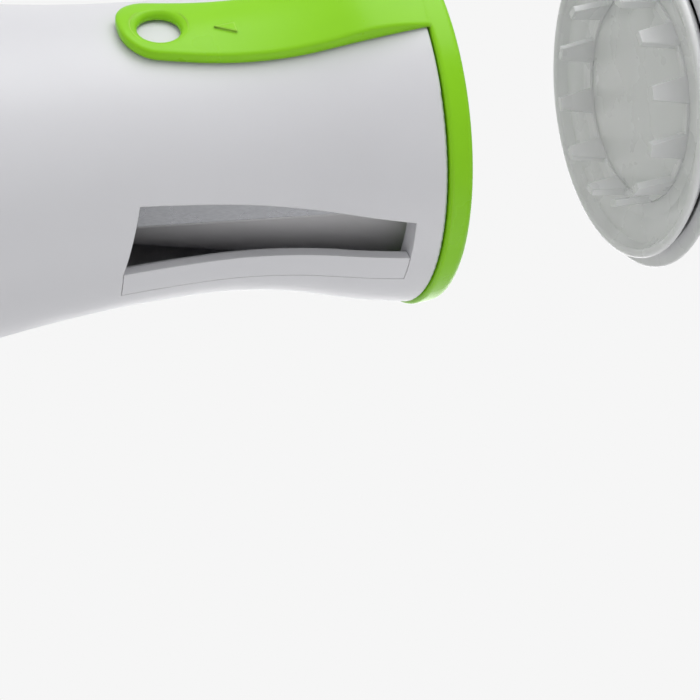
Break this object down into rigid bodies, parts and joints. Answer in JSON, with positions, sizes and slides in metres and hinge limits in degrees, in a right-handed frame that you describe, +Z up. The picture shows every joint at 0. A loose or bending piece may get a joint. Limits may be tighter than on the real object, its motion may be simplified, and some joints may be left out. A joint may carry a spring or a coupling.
{
  "type": "hand cranked spiralizer",
  "caption": "Waisted hand spiralizer: conical cutter with exit window, selector collar with lever that shifts a comb, and a toothed holder turned by a crank.",
  "frame": {"origin": "on the tool's axis, in the plane of the foot ring that it stands on", "axes": "+Z up the tool's axis from the foot to the crank; the crank arm points to -X at rest"},
  "size_m": [0.0942, 0.0754, 0.2228],
  "materials": {
    "white_shell": "semi-gloss white ABS",
    "white_inner": "satin white ABS, inner mouldings",
    "white_holder": "gloss white ABS",
    "lime_green": "gloss lime green ABS",
    "grey_rubber": "matte light grey soft rubber",
    "natural_bush": "natural acetal, low sheen",
    "blade_steel": "ground stainless steel",
    "comb_steel": "stamped stainless steel",
    "ball_steel": "polished steel",
    "spring_steel": "spring steel wire",
    "zinc_screw": "zinc plated steel"
  },
  "bodies": {
    "housing": {"body_shell": "white_shell", "exit_lip": "white_shell", "foot_ring": "grey_rubber", "cutter_cone": "white_inner", "cone_screws": "zinc_screw", "main_blade": "blade_steel", "blade_screws": "zinc_screw", "fixed_comb": "comb_steel", "comb_screws": "zinc_screw", "slide_clips": "white_inner", "mouth_ring": "white_inner", "detent_ball": "ball_steel", "detent_spring": "spring_steel"},
    "selector": {"selector_collar": "lime_green"},
    "comb_carriage": {"comb_slider": "natural_bush", "sliding_comb": "comb_steel", "cam_peg": "ball_steel"},
    "pusher": {"pusher_cap": "white_holder", "shaft_bush": "natural_bush"},
    "drive": {"holder_dish": "white_holder", "tooth_crown": "white_holder", "drive_shaft": "white_inner", "dish_screws": "zinc_screw", "crank_arm": "white_holder", "hub_screw": "zinc_screw", "hub_cap": "lime_green", "knob_axle": "ball_steel"},
    "knob": {"crank_knob": "lime_green", "knob_cap": "lime_green"}
  },
  "joints": [
    {"name": "selector_turn", "type": "hinge", "parent": "housing", "child": "selector", "pos_m": [0, 0, 0.115], "axis": [0, 0, -1], "range_deg": [0, 40]},
    {"name": "comb_shift", "type": "slide", "parent": "housing", "child": "comb_carriage", "axis": [-0.0462, -0.1851, 0.9816], "range_m": [0, 0.005]},
    {"name": "holder_feed", "type": "slide", "parent": "housing", "child": "pusher", "axis": [0, 0, 1], "range_m": [-0.0477, 0.06]},
    {"name": "crank_turn", "type": "hinge", "parent": "pusher", "child": "drive", "pos_m": [0, 0, 0.18], "axis": [0, 0, 1], "continuous": true},
    {"name": "knob_spin", "type": "hinge", "parent": "drive", "child": "knob", "pos_m": [-0.046, 0, 0.21], "axis": [0, 0, 1], "continuous": true}
  ],
  "couplings": [
    {"joint": "comb_shift", "follows": "selector_turn", "m_per_rad": 0.00716}
  ]
}
